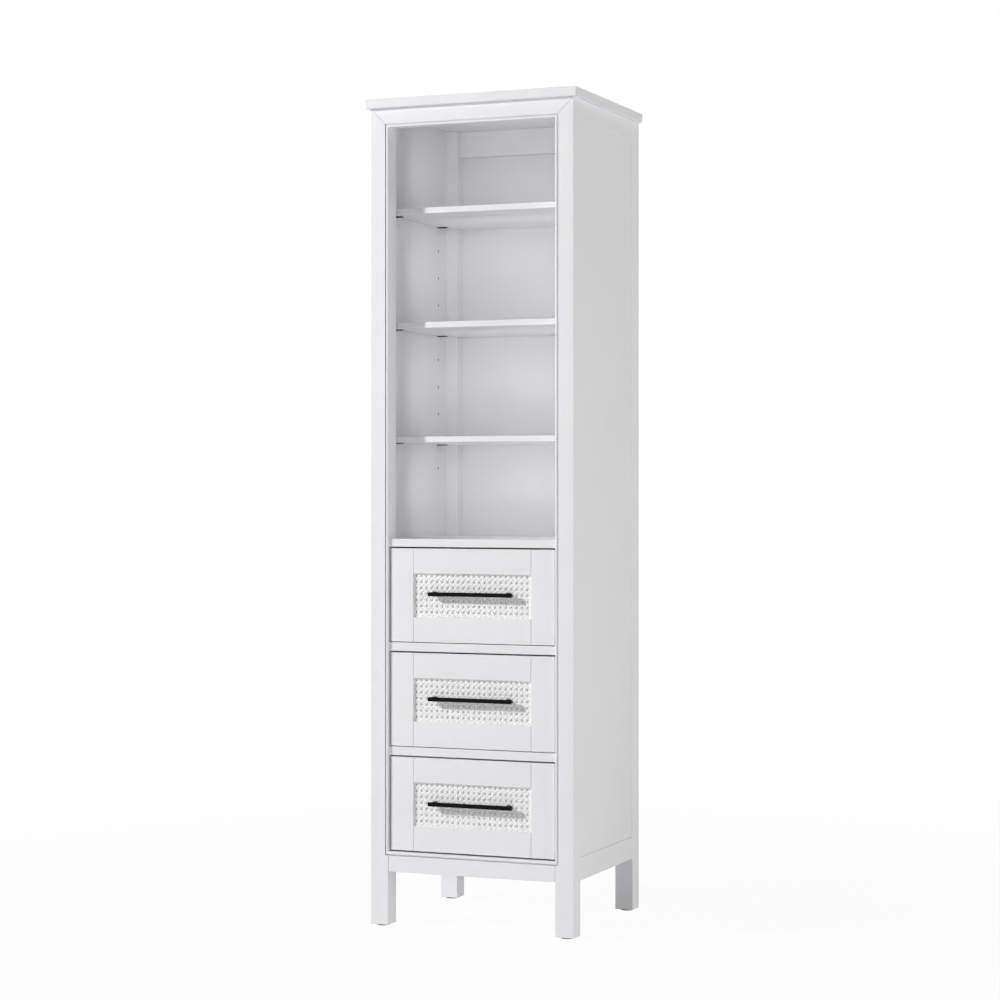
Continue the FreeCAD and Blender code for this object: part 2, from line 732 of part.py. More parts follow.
def make_pull(name, middle):
    """Square bar on two round posts, held by screws from inside the drawer."""
    bar_size = ("pull_length", "pull_bar", "pull_bar")
    bar_at = ("0 - pull_length / 2", f"{INSET_FACE} - pull_projection", f"{middle} - pull_bar / 2")
    bar = board(f"{name}_pull_bar", bar_size, bar_at, "pull_edge")
    post = new_body(f"{name}_pull_post_left", ("0 - pull_centres / 2", INSET_FACE, middle))
    length = "(pull_projection - pull_bar)"
    rod(post, "Post", "y", "pull_post_diameter", length, ("0", f"0 - {length}", "0"))
    thread = ("0", "0 - screw_thread_depth", "0")
    bore(post, "Thread", "y", "screw_diameter", "screw_thread_depth + cut_overrun", thread)
    keep_group(f"{name}_pull", [bar, post, mirrored(f"{name}_pull_post_right", post)])

    seat = "(drawer_front_thickness - panel_recess + box_end_thickness)"
    screw = new_body(f"{name}_pull_screw_left", ("0 - pull_centres / 2", INSET_FACE, middle))
    tip = "(screw_thread_depth - screw_clearance)"
    shank = "screw_diameter - 2 * screw_clearance"
    rod(screw, "Shank", "y", shank, f"{seat} + {tip}", ("0", f"0 - {tip}", "0"))
    rod(screw, "Head", "y", "screw_head_diameter", "screw_head_height", ("0", seat, "0"))
    with_twin(f"{name}_pull_screws", screw)


def make_moving_slides(name, bottom):
    """Middle and inner slide members of one drawer."""
    step = f"({SLIDE_MEMBER} + slide_gap)"
    middle_height = "slide_height - 2 * slide_step"
    middle = slide_member(f"{name}_slide_middle_left", step, middle_height, False, bottom)
    with_twin(f"{name}_slide_middle", middle)
    inner_height = "slide_height - 4 * slide_step"
    inner = slide_member(f"{name}_slide_inner_left", f"2 * {step}", inner_height, True, bottom)
    with_twin(f"{name}_slide_inner", inner)


def make_drawers():
    for k, place in enumerate(DRAWERS):
        name = f"drawer_{place}"
        bottom = drawer_bottom(k)
        middle = f"({bottom} + drawer_front_height / 2)"
        make_drawer_front(name, bottom, middle)
        make_drawer_box(name, bottom, middle)
        make_pull(name, f"({middle} + pull_rise)")
        make_moving_slides(name, bottom)


def write_parts():
    """Check every object, then write one file for each node."""
    doc.recompute()
    for item in doc.Objects:
        if "Invalid" in item.State or "Error" in item.State:
            raise RuntimeError(f"{item.Label} did not compute: {item.State}")
    for node in nodes:
        if node.Shape.isNull() or not node.Shape.isValid():
            raise RuntimeError(f"{node.Label} has no valid shape")
    os.makedirs("parts", exist_ok=True)
    for node in nodes:
        node.Shape.exportStep(f"parts/{node.Label}.step")
    print(f"{len(nodes)} nodes, {sum(len(node.Shape.Solids) for node in nodes)} solids")


make_top()
make_front_legs()
make_rear_legs()
make_glides()
make_face_rail()
make_bead()
make_apron()
make_sides()
make_back()
make_inner_boards()
make_shelves()
make_fixed_slides()
make_drawers()
write_parts()
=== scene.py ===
"""Dressed scene of the tall white bathroom cabinet: paint, cane, plywood, metal, studio and camera.

Everything is in metres, in the cabinet's own frame: X to the right, Y to the wall, Z up.
"""
import bmesh
import bpy
import math
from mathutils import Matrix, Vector


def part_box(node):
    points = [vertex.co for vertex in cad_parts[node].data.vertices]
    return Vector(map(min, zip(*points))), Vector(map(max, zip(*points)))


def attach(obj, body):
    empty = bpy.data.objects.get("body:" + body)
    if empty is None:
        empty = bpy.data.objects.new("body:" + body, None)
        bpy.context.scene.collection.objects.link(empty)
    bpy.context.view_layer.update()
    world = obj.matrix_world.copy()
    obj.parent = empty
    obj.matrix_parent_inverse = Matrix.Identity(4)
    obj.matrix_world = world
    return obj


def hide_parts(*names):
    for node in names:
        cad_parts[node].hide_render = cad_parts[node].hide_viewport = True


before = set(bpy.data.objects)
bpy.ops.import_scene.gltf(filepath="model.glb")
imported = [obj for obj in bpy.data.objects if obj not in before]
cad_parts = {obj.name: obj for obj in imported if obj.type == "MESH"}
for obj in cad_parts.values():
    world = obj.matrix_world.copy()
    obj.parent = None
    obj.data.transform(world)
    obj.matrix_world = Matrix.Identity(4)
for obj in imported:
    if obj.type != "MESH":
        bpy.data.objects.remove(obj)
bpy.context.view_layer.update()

DRAWERS = ("drawer_lower", "drawer_middle", "drawer_upper")
QUARTER = math.radians(90)
ROUND_SMOOTH_ANGLE = math.radians(60)
SCREW_SMOOTH_ANGLE = math.radians(35)
# Cosine above which a face counts as facing along an axis
FACING = 0.9

# Cane webbing: pairs of upright and level strands with two sets of diagonals
CELL_WIDTH = 0.0115
CELL_HEIGHT = 0.0122
PAIR_HALF_GAP = 0.00195
STRAND_WIDTH = 0.0038
STRAND_THICKNESS = 0.0008
STRAND_SIDES = 6
WEAVE_HALF_DEPTH = 1.5 * STRAND_THICKNESS
FIRST_HOLE_FROM_LEFT = 0.0054
FIRST_HOLE_FROM_TOP = 0.005
FLAT_RUN_SHARE = 0.27
BACKING_GAP = 0.00005
BACKING_THICKNESS = 0.0013
BACKING_EDGE = 0.0003
BACKING_EDGE_SEGMENTS = 2

# Empty pin holes of the side panels
PIN_PITCH = 0.0582
PIN_ROWS = 10
SHELF_ROWS = (1, 5, 9)
PIN_RISE = 0.0075
SUPPORT_WIDTH = 0.014
SLEEVE_RADIUS = 0.00245
SLEEVE_DEPTH = 0.0087
SLEEVE_WALL = 0.0003
SLEEVE_SIDES = 16
SLEEVE_SETBACK = 0.0002

# Pan head screws of the pulls and of the slides
SCREW_SIDES = 32
SCREW_TIP_SHARE = 0.6
PULL_SCREW_HEAD = 0.004
PULL_SCREW_HEAD_HEIGHT = 0.0025
PULL_SCREW_SHANK = 0.0018
SLIDE_SCREW_HEAD = 0.0034
SLIDE_SCREW_HEAD_HEIGHT = 0.0015
SLIDE_SCREW_SHANK = 0.0016
SLIDE_SCREW_LENGTH = 0.008
SLIDE_SCREW_SHARES = (0.1, 0.5, 0.9)
SLIDE_WEB = 0.0016
RECESS_WIDTH_SHARE = 0.26
RECESS_REACH_SHARE = 1.15
RECESS_DEPTH_SHARE = 0.6
DOME_SHARE = 0.55
DOME_SEGMENTS = 4
DOME_PROFILE = 0.6

# Colours of the finishes
WHITE = (0.898, 0.896, 0.91, 1)
# Cane white is set brighter than the frame's lacquer as painted light, to offset the shade the weave casts
# on itself
CANE_WHITE_LIFTED = (0.955, 0.955, 0.955, 1)
BACKING_WHITE = (0.88, 0.88, 0.88, 1)
BLACK = (0.004, 0.004, 0.0045, 1)
GLIDE_GREY = (0.12, 0.12, 0.12, 1)
# Inside of the empty pin holes: raw board, darkened well past its own colour as painted shade in the holes
RAW_BOARD_AND_SHADE = (0.16, 0.13, 0.1, 1)
ZINC = (0.6, 0.6, 0.58, 1)
BIRCH_DARK = (0.68, 0.49, 0.29, 1)
BIRCH_PALE = (0.80, 0.63, 0.42, 1)
PLY_EDGE_DARK = (0.42, 0.28, 0.15, 1)
PLY_EDGE_PALE = (0.74, 0.57, 0.37, 1)
PURE_WHITE = (1, 1, 1, 1)
BLACK_COAT_SPECULAR = 0.06

# Relief of the finishes: strength and depth
PAINT_RELIEF = (0.12, 0.0004)
CANE_RELIEF = (0.4, 0.00012)
BACKING_RELIEF = (0.2, 0.0003)
BLACK_COAT_RELIEF = (0.35, 0.0001)
GLIDE_RELIEF = (0.25, 0.0001)
RAW_BOARD_RELIEF = (0.5, 0.0003)
ZINC_RELIEF = (0.2, 0.00005)
PLY_RELIEF = (0.25, 0.0001)

# Texture of the finishes: scales are per metre, a stretch below one draws a texture out along an axis
TEXTURE_LOW = 0.3
TEXTURE_HIGH = 0.7
PAINT_CLOUD_SCALE = 5.0
PAINT_STREAK_SCALE = 40.0
PAINT_WAVE_SCALE = 90.0
PAINT_WAVE_SHARE = 1.5
CANE_STRETCH = 0.06
CANE_FIBRE_SCALE = 3200.0
CANE_PORE_SCALE = 1500.0
COAT_PATCH_SCALE = 120.0
COAT_PATCH_SHARE = 0.14
ZINC_STRETCH = 0.02
ZINC_SPANGLE_SCALE = 160.0
ZINC_LINE_SCALE = 2400.0
ZINC_HAZE_SCALE = 30.0
BIRCH_STRETCH = 0.07
BIRCH_FIGURE_SCALE = 34.0
BIRCH_FIGURE_ROUGHNESS = 0.6
BIRCH_PORE_SCALE = 900.0
BIRCH_FACE_FACING = 0.7

# Camera and light, fitted to the photograph
CAMERA_PLACE = (1.9183, -4.6975, 0.8897)
CAMERA_TURN = (QUARTER, 0, math.radians(22.367))
CAMERA_LENS = 88.28
CAMERA_SENSOR = 36
CAMERA_SHIFT_DOWN = 0.0129
CAMERA_REACH = 100
AMBIENT = 0.02
AMBIENT_COLOUR = (0.99, 0.99, 1.0, 1)
# Each lamp's place, target, width, height and watts, and the spread of a narrow one
LAMPS = {
    "key_light": ((-5.05, -3.95, 3.8), (0, -0.18, 0.9), 0.38, 0.38, 390),
    "front_fill": ((3.5, -8.7, 1.3), (0, 0, 0.9), 4.0, 4.0, 102),
    "low_fill": ((0.7, -2.8, 0.2), (0, 0, 1.4), 2.6, 0.4, 6),
    "side_fill": ((4.0, -0.3, 0.7), (0.2, 0, 0.6), 2.0, 2.0, 73),
    "back_fill": ((0, 3.2, 1.1), (0, 0.2, 0.9), 0.36, 1.6, 3.2, math.radians(50)),
    "top_fill": ((0, 0.05, 2.7), (0, 0, 1.676), 0.4, 0.4, 0.42, math.radians(40)),
}
BAY_BOARDS = ("deck_panel", "shelf_lower", "shelf_middle", "shelf_upper", "face_rail")
BAY_LAMP_WIDTH = 0.3
BAY_LAMP_SETBACK = 0.072
BAY_LAMP_HEIGHT_SHARE = 0.35
BAY_LAMP_SPREAD = math.radians(155)
BAY_WATTS = (0.124, 0.121, 0.121, 0.104)

# Floor: nearly white for the camera by the cabinet, so that its shadow shows, and white farther off
FLOOR_SIZE = 60
FLOOR_COLOUR = (0.86, 0.86, 0.87, 1)
FLOOR_WHITE_NEAR = 0.955
FLOOR_FADE_FROM = 0.5
FLOOR_FADE_TO = 2.5


def start_piece():
    """Leave edit mode and deselect everything before a new primitive."""
    if bpy.context.mode != "OBJECT":
        bpy.ops.object.mode_set(mode="OBJECT")
    bpy.ops.object.select_all(action="DESELECT")


def pick(*pieces):
    """Select some pieces and make the first one active."""
    start_piece()
    for piece in pieces:
        piece.select_set(True)
    bpy.context.view_layer.objects.active = pieces[0]
    return pieces[0]


def settle(piece):
    """Move a piece's place, turn and scale into its mesh."""
    pick(piece)
    bpy.ops.object.transform_apply(location=True, rotation=True, scale=True)


def apply_modifier(piece, kind, **settings):
    """Add a modifier to a piece and apply it."""
    pick(piece)
    modifier = piece.modifiers.new(kind.title(), kind)
    for name, value in settings.items():
        setattr(modifier, name, value)
    bpy.ops.object.modifier_apply(modifier=modifier.name)


def select_parts(piece, kind, wanted):
    """Select the edges or faces of a piece in edit mode that pass a test."""
    bpy.ops.mesh.select_mode(type={"edges": "EDGE", "faces": "FACE"}[kind])
    bpy.ops.mesh.select_all(action="DESELECT")
    mesh = bmesh.from_edit_mesh(piece.data)
    for part in getattr(mesh, kind):
        if wanted(part):
            part.select_set(True)
    bmesh.update_edit_mesh(piece.data)


def copy_piece(piece, name, offset=(0, 0, 0)):
    """Copy a piece with a mesh of its own, moved by an offset."""
    twin = piece.copy()
    twin.data = piece.data.copy()
    twin.name = name
    twin.location = offset
    bpy.context.collection.objects.link(twin)
    settle(twin)
    return twin


def join(name, pieces):
    """Join pieces into one mesh."""
    joined = pick(*pieces)
    bpy.ops.object.join()
    joined.name = name
    return joined


# Node trees


def add(tree, kind, settings=None, inputs=None):
    """Add a node, set its options, and set or link its inputs."""
    made = tree.nodes.new("ShaderNode" + kind)
    for name, value in (settings or {}).items():
        setattr(made, name, value)
    for name, value in (inputs or {}).items():
        if isinstance(value, bpy.types.NodeSocket):
            tree.links.new(value, made.inputs[name])
        else:
            made.inputs[name].default_value = value
    return made


def math_node(tree, operation, first, second=0.0, third=0.0):
    """Add a Math node and give its result."""
    made = add(tree, "Math", {"operation": operation}, {0: first, 1: second, 2: third})
    return made.outputs[0]


def between(tree, value, low, high):
    """Run from low to high as a value runs from zero to one."""
    return math_node(tree, "MULTIPLY_ADD", value, high - low, low)


def stretch_range(tree, value, low, high):
    """Spread a texture's middle values over a range."""
    ends = {"From Min": TEXTURE_LOW, "From Max": TEXTURE_HIGH, "To Min": low, "To Max": high}
    return add(tree, "MapRange", {"clamp": True}, {"Value": value, **ends}).outputs["Result"]


def noise(tree, vector, scale, detail=2.0, roughness=0.5):
    """Add a noise texture and give its value."""
    inputs = {"Vector": vector, "Scale": scale, "Detail": detail, "Roughness": roughness}
    return add(tree, "TexNoise", {}, inputs).outputs["Fac"]


def drawn_out(tree, vector, scale):
    """Scale a texture's vector along each axis."""
    return add(tree, "Mapping", {}, {"Vector": vector, "Scale": scale}).outputs["Vector"]


def shade(tree, colour, factor):
    """Multiply a colour by a value."""
    inputs = {"Vector": colour, "Scale": factor}
    return add(tree, "VectorMath", {"operation": "SCALE"}, inputs).outputs["Vector"]


def blend_colours(tree, factor, first, second):
    """Mix two colours."""
    made = add(tree, "Mix", {"data_type": "RGBA"}, {0: factor, 6: first, 7: second})
    return made.outputs[2]


def new_finish(name, inputs):
    """Start a node group that takes a vector and named inputs and puts out colour, roughness and height."""
    tree = bpy.data.node_groups.new(name, "ShaderNodeTree")
    for label, kind, value in [("Vector", "Vector", None)] + inputs:
        socket = tree.interface.new_socket(name=label, in_out="INPUT", socket_type="NodeSocket" + kind)
        if value is not None:
            socket.default_value = value
    for label, kind in (("Colour", "Color"), ("Roughness", "Float"), ("Height", "Float")):
        tree.interface.new_socket(name=label, in_out="OUTPUT", socket_type="NodeSocket" + kind)
    return tree, tree.nodes.new("NodeGroupInput"), tree.nodes.new("NodeGroupOutput")


def end_finish(tree, result, colour, roughness, height):
    """Link a node group's three results."""
    tree.links.new(colour, result.inputs["Colour"])
    tree.links.new(roughness, result.inputs["Roughness"])
    tree.links.new(height, result.inputs["Height"])
    return tree


def make_paint_film():
    """Sprayed lacquer: a faint mottle, uneven sheen and a fine orange peel."""
    tree, given, result = new_finish(
        "PaintFilm",
        [
            ("Colour", "Color", PURE_WHITE),
            ("Mottle", "Float", 0.02),
            ("Sheen Low", "Float", 0.3),
            ("Sheen High", "Float", 0.4),
            ("Peel Scale", "Float", 700.0),
        ],
    )
    vector = given.outputs["Vector"]
    cloud = stretch_range(tree, noise(tree, vector, PAINT_CLOUD_SCALE, 3.0), -1.0, 0.0)
    tone = math_node(tree, "MULTIPLY_ADD", cloud, given.outputs["Mottle"], 1.0)
    streak = stretch_range(tree, noise(tree, vector, PAINT_STREAK_SCALE, 4.0), 0.0, 1.0)
    span = math_node(tree, "SUBTRACT", given.outputs["Sheen High"], given.outputs["Sheen Low"])
    rough = math_node(tree, "MULTIPLY_ADD", streak, span, given.outputs["Sheen Low"])
    peel = noise(tree, vector, given.outputs["Peel Scale"], 1.0)
    wave = noise(tree, vector, PAINT_WAVE_SCALE, 1.0)
    height = math_node(tree, "MULTIPLY_ADD", wave, PAINT_WAVE_SHARE, peel)
    return end_finish(tree, result, shade(tree, given.outputs["Colour"], tone), rough, height)


def make_cane_fibre():
    """Fine ridges and pores along a strand of cane under paint; the strand lies along the vector's Z."""
    tree, given, result = new_finish("CaneFibre", [("Colour", "Color", PURE_WHITE)])
    drawn = drawn_out(tree, given.outputs["Vector"], (1.0, 1.0, CANE_STRETCH))
    fibre = noise(tree, drawn, CANE_FIBRE_SCALE, 3.0)
    pores = stretch_range(tree, noise(tree, drawn, CANE_PORE_SCALE, 2.0), 0.0, 1.0)
    colour = shade(tree, given.outputs["Colour"], between(tree, pores, 0.97, 1.0))
    return end_finish(tree, result, colour, between(tree, fibre, 0.34, 0.5), fibre)


def make_powder_coat():
    """Baked powder or moulded grain: a fine pebbled skin with a patchy sheen."""
    tree, given, result = new_finish(
        "PowderCoat",
        [("Colour", "Color", BLACK), ("Grain Scale", "Float", 2600.0), ("Sheen", "Float", 0.42)],
    )
    vector = given.outputs["Vector"]
    pebble = noise(tree, vector, given.outputs["Grain Scale"], 2.0)
    patch = noise(tree, vector, COAT_PATCH_SCALE, 3.0)
    colour = shade(tree, given.outputs["Colour"], between(tree, pebble, 0.75, 1.25))
    rough = math_node(tree, "MULTIPLY_ADD", patch, COAT_PATCH_SHARE, given.outputs["Sheen"])
    return end_finish(tree, result, colour, rough, pebble)


def make_rolled_steel():
    """Zinc plated strip: spangle, rolling lines along Y and a little handling haze."""
    tree, given, result = new_finish("RolledSteel", [("Colour", "Color", ZINC)])
    vector = given.outputs["Vector"]
    cells = add(tree, "TexVoronoi", {}, {"Vector": vector, "Scale": ZINC_SPANGLE_SCALE})
    spangle = between(tree, cells.outputs["Distance"], 0.88, 1.02)
    drawn = drawn_out(tree, vector, (1.0, ZINC_STRETCH, 1.0))
    lines = noise(tree, drawn, ZINC_LINE_SCALE, 2.0)
    haze = stretch_range(tree, noise(tree, vector, ZINC_HAZE_SCALE, 3.0), 0.24, 0.42)
    return end_finish(tree, result, shade(tree, given.outputs["Colour"], spangle), haze, lines)


def make_birch_ply():
    """Birch plywood in the board's own axes: X through the thickness, Y along the grain, Z across it."""
    tree, given, result = new_finish("BirchPly", [("Normal", "Vector", None), ("Ply", "Float", 0.0015)])
    vector = given.outputs["Vector"]
    drawn = drawn_out(tree, vector, (1.0, BIRCH_STRETCH, 1.0))
    grain = noise(tree, drawn, BIRCH_FIGURE_SCALE, 5.0, BIRCH_FIGURE_ROUGHNESS)
    figure = stretch_range(tree, grain, 0.0, 1.0)
    pores = stretch_range(tree, noise(tree, drawn, BIRCH_PORE_SCALE, 2.0), 0.0, 1.0)
    face = blend_colours(tree, figure, BIRCH_DARK, BIRCH_PALE)
    face = shade(tree, face, between(tree, pores, 0.9, 1.0))
    axes = add(tree, "SeparateXYZ", {}, {0: vector})
    layer = math_node(tree, "DIVIDE", axes.outputs["X"], given.outputs["Ply"])
    stripe = math_node(tree, "GREATER_THAN", math_node(tree, "PINGPONG", layer, 1.0), 0.5)
    edge = blend_colours(tree, stripe, PLY_EDGE_DARK, PLY_EDGE_PALE)
    edge = shade(tree, edge, between(tree, pores, 0.8, 1.0))
    facing = add(tree, "SeparateXYZ", {}, {0: given.outputs["Normal"]})
    flatness = math_node(tree, "ABSOLUTE", facing.outputs["X"])
    flat = math_node(tree, "GREATER_THAN", flatness, BIRCH_FACE_FACING)
    colour = blend_colours(tree, flat, edge, face)
    return end_finish(tree, result, colour, between(tree, figure, 0.42, 0.54), pores)


def finish_material(name, group, values, relief, settings=None, turn=None, with_normal=False):
    """Make a material: a group's colour, sheen and relief on one Principled shader."""
    material = bpy.data.materials.new(name)
    material.use_nodes = True
    tree = material.node_tree
    tree.nodes.clear()
    place = add(tree, "TexCoord")
    vector = place.outputs["Object"]
    facing = place.outputs["Normal"]
    if turn:
        vector = add(tree, "Mapping", {}, {"Vector": vector, "Rotation": turn}).outputs["Vector"]
    if turn and with_normal:
        spin = {"Vector": facing, "Rotation": turn}
        facing = add(tree, "Mapping", {"vector_type": "NORMAL"}, spin).outputs["Vector"]
    inputs = {**values, "Vector": vector}
    if with_normal:
        inputs["Normal"] = facing
    film = add(tree, "Group", {"node_tree": group}, inputs)
    strength, depth = relief
    heights = {"Height": film.outputs["Height"], "Strength": strength, "Distance": depth}
    bump = add(tree, "Bump", {}, heights)
    sockets = {
        "Base Color": film.outputs["Colour"],
        "Roughness": film.outputs["Roughness"],
        "Normal": bump.outputs["Normal"],
    }
    sockets.update(settings or {})
    skin = add(tree, "BsdfPrincipled", {}, sockets)
    output = add(tree, "OutputMaterial")
    tree.links.new(skin.outputs["BSDF"], output.inputs["Surface"])
    return material


def ply_material(name, turn=None):
    """Birch plywood for boards that lie one way."""
    return finish_material(name, birch_ply, {}, PLY_RELIEF, turn=turn, with_normal=True)


def dress(piece, material):
    """Give a piece one material."""
    piece.data.materials.clear()
    piece.data.materials.append(material)


paint_film = make_paint_film()
cane_fibre = make_cane_fibre()
powder_coat = make_powder_coat()
rolled_steel = make_rolled_steel()
birch_ply = make_birch_ply()

white_paint = finish_material("white_lacquer", paint_film, {"Colour": WHITE, "Mottle": 0.02}, PAINT_RELIEF)
backing_paint = finish_material(
    "cane_backing_paint", paint_film, {"Colour": BACKING_WHITE, "Mottle": 0.05}, BACKING_RELIEF
)
# Dark board for the empty pin holes: raw board colour deepened as painted shade
raw_board_and_shade = finish_material(
    "raw_board_and_shade", paint_film, {"Colour": RAW_BOARD_AND_SHADE, "Mottle": 0.5, "Peel Scale": 2500.0}, RAW_BOARD_RELIEF
)
black_coat = finish_material(
    "black_powder_coat",
    powder_coat,
    {"Colour": BLACK},
    BLACK_COAT_RELIEF,
    {"Specular IOR Level": BLACK_COAT_SPECULAR},
)
glide_plastic = finish_material(
    "glide_plastic", powder_coat, {"Colour": GLIDE_GREY, "Grain Scale": 1500.0, "Sheen": 0.5}, GLIDE_RELIEF
)
zinc_steel = finish_material("zinc_steel", rolled_steel, {}, ZINC_RELIEF, {"Metallic": 1.0})
ply_sides = ply_material("birch_ply_sides")
ply_ends = ply_material("birch_ply_ends", (0, 0, QUARTER))
ply_flat = ply_material("birch_ply_bottoms", (0, QUARTER, 0))
CANE_TURNS = {
    "upright": None,
    "level": (0, QUARTER, 0),
    "rising": (0, -QUARTER / 2, 0),
    "falling": (0, QUARTER / 2, 0),
}
# The cane's white is lifted as painted light over the weave's own shade
cane_paints = {
    run: finish_material("white_cane_" + run, cane_fibre, {"Colour": CANE_WHITE_LIFTED}, CANE_RELIEF, turn=turn)
    for run, turn in CANE_TURNS.items()
}


def dress_cad_nodes():
    """Give every CAD node its finish through its object slots; what isn't named here is painted white."""
    finishes = {
        "shelf_supports": black_coat,
        "foot_glides": glide_plastic,
        "slide_outer": zinc_steel,
        "slide_cleats": ply_sides,
    }
    drawer_finishes = {
        "pull": black_coat,
        "pull_screws": zinc_steel,
        "slide_inner": zinc_steel,
        "slide_middle": zinc_steel,
        "box_sides": ply_sides,
        "box_front": ply_ends,
        "box_back": ply_ends,
        "box_bottom": ply_flat,
    }
    for drawer in DRAWERS:
        for part, material in drawer_finishes.items():
            finishes[f"{drawer}_{part}"] = material
    for name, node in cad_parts.items():
        for holder in node.material_slots:
            holder.link = "OBJECT"
            holder.material = finishes.get(name, white_paint)


# Cane webbing


def strand(name, path, material):
    """One flat strand along Z, extruded ring by ring through pairs of lift and height."""
    start_piece()
    lift, height = path[0]
    bpy.ops.mesh.primitive_circle_add(
        vertices=STRAND_SIDES,
        radius=0.5,
        fill_type="NGON",
        location=(0, -lift, height),
        rotation=(0, 0, QUARTER),
    )
    piece = bpy.context.object
    piece.name = name
    bpy.ops.object.transform_apply(location=False, rotation=True, scale=False)
    piece.scale = (STRAND_WIDTH, STRAND_THICKNESS, 1)
    settle(piece)
    dress(piece, material)
    bpy.ops.object.mode_set(mode="EDIT")
    bpy.ops.mesh.select_all(action="SELECT")
    for (lift, height), (next_lift, next_height) in zip(path, path[1:]):
        step = (0, lift - next_lift, next_height - height)
        bpy.ops.mesh.extrude_region_move(TRANSFORM_OT_translate={"value": step})
    bpy.ops.mesh.select_all(action="SELECT")
    bpy.ops.mesh.normals_make_consistent(inside=False)
    bpy.ops.object.mode_set(mode="OBJECT")
    return piece


def repeat(piece, step, count):
    """Lay copies of a strand side by side."""
    apply_modifier(
        piece,
        "ARRAY",
        count=count,
        use_relative_offset=False,
        use_constant_offset=True,
        constant_offset_displace=step,
    )


def woven_path(cells, first_side):
    """Over and under a pair at every crossing, flat halfway between crossings."""
    path = [(0, -CELL_WIDTH / 2)]
    half = STRAND_THICKNESS / 2
    for k in range(cells):
        middle = k * CELL_WIDTH
        path.append((first_side * half, middle - PAIR_HALF_GAP))
        path.append((-first_side * half, middle + PAIR_HALF_GAP))
        path.append((0, middle + CELL_WIDTH / 2))
    return path


def diagonal_path(cells, first_side):
    """Over the upright pairs and under the level ones, or the other way round."""
    stride = CELL_WIDTH / math.sqrt(2)
    flat = stride * FLAT_RUN_SHARE
    path = []
    side = first_side
    for k in range(2 * cells + 1):
        path.append((side * STRAND_THICKNESS, k * stride - flat))
        path.append((side * STRAND_THICKNESS, k * stride + flat))
        side = -side
    return path


def upright_strands(columns, rows):
    """Pairs of strands along Z, one pair to a column."""
    pieces = []
    for side in (-1, 1):
        piece = strand("upright_strands", woven_path(rows, -side), cane_paints["upright"])
        piece.location.x = side * PAIR_HALF_GAP
        settle(piece)
        repeat(piece, (CELL_WIDTH, 0, 0), columns)
        pieces.append(piece)
    return pieces


def level_strands(columns, rows):
    """Pairs of strands along X, one pair to a row, over the uprights where those go under."""
    pieces = []
    for side in (-1, 1):
        piece = strand("level_strands", woven_path(columns, side), cane_paints["level"])
        piece.rotation_euler.y = QUARTER
        piece.location.z = side * PAIR_HALF_GAP
        settle(piece)
        repeat(piece, (0, 0, CELL_WIDTH), rows)
        pieces.append(piece)
    return pieces


def diagonal_strands(columns, rows):
    """Single strands both ways across the pairs, which cut the corners of the holes."""
    pieces = []
    count = columns + rows + 1
    for run, lean, side in (("rising", 1, -1), ("falling", -1, 1)):
        piece = strand(run + "_strands", diagonal_path(rows, side), cane_paints[run])
        piece.rotation_euler.y = lean * QUARTER / 2
        first = -rows * CELL_WIDTH if lean > 0 else 0
        piece.location = (first, 0, -CELL_WIDTH / 2)
        settle(piece)
        repeat(piece, (CELL_WIDTH, 0, 0), count)
        pieces.append(piece)
    return pieces


def trim(piece, plane, normal):
    """Cut a piece off square at a plane and close the cut ends."""
    pick(piece)
    bpy.ops.object.mode_set(mode="EDIT")
    bpy.ops.mesh.select_all(action="SELECT")
    bpy.ops.mesh.bisect(plane_co=plane, plane_no=normal, use_fill=True, clear_outer=True)
    bpy.ops.object.mode_set(mode="OBJECT")


def make_cane_backing(low, high):
    """A thin painted board behind the weave, with its front edges slightly rounded."""
    start_piece()
    middle = ((low.x + high.x) / 2, low.y - BACKING_THICKNESS / 2, (low.z + high.z) / 2)
    bpy.ops.mesh.primitive_cube_add(size=1, location=middle)
    backing = bpy.context.object
    backing.name = "cane_backing"
    backing.scale = (high.x - low.x, BACKING_THICKNESS, high.z - low.z)
    settle(backing)
    bpy.ops.object.mode_set(mode="EDIT")
    front = low.y - BACKING_THICKNESS / 2
    select_parts(backing, "edges", lambda edge: all(v.co.y < front for v in edge.verts))
    bpy.ops.mesh.bevel(offset=BACKING_EDGE, segments=BACKING_EDGE_SEGMENTS)
    bpy.ops.object.mode_set(mode="OBJECT")
    dress(backing, backing_paint)
    return backing


def make_cane_webbing():
    """Weave one panel's webbing, trim it to its recess and copy it to every drawer."""
    low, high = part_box("drawer_lower_cane_panel")
    columns = math.ceil((high.x - low.x) / CELL_WIDTH) + 2
    rows = math.ceil((high.z - low.z) / CELL_HEIGHT) + 2
    strands = upright_strands(columns, rows) + level_strands(columns, rows)
    webbing = join("cane_webbing", strands + diagonal_strands(columns, rows))
    webbing.scale.z = CELL_HEIGHT / CELL_WIDTH
    first_column = low.x + FIRST_HOLE_FROM_LEFT - CELL_WIDTH / 2
    first_row = high.z - FIRST_HOLE_FROM_TOP + CELL_HEIGHT / 2 - (rows - 1) * CELL_HEIGHT
    stand_off = BACKING_THICKNESS + WEAVE_HALF_DEPTH + BACKING_GAP
    webbing.location = (first_column, low.y - stand_off, first_row)
    settle(webbing)
    for corner, normal in ((low, (-1, 0, 0)), (low, (0, 0, -1)), (high, (1, 0, 0)), (high, (0, 0, 1))):
        trim(webbing, corner, normal)
    webbing = join("cane_webbing", [webbing, make_cane_backing(low, high)])
    bpy.ops.object.shade_smooth_by_angle(angle=ROUND_SMOOTH_ANGLE)
    for drawer in DRAWERS:
        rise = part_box(f"{drawer}_cane_panel")[0].z - low.z
        panel = copy_piece(webbing, f"{drawer}_cane_webbing", (0, 0, rise))
        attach(panel, drawer)
    bpy.data.objects.remove(webbing)


# Pin holes


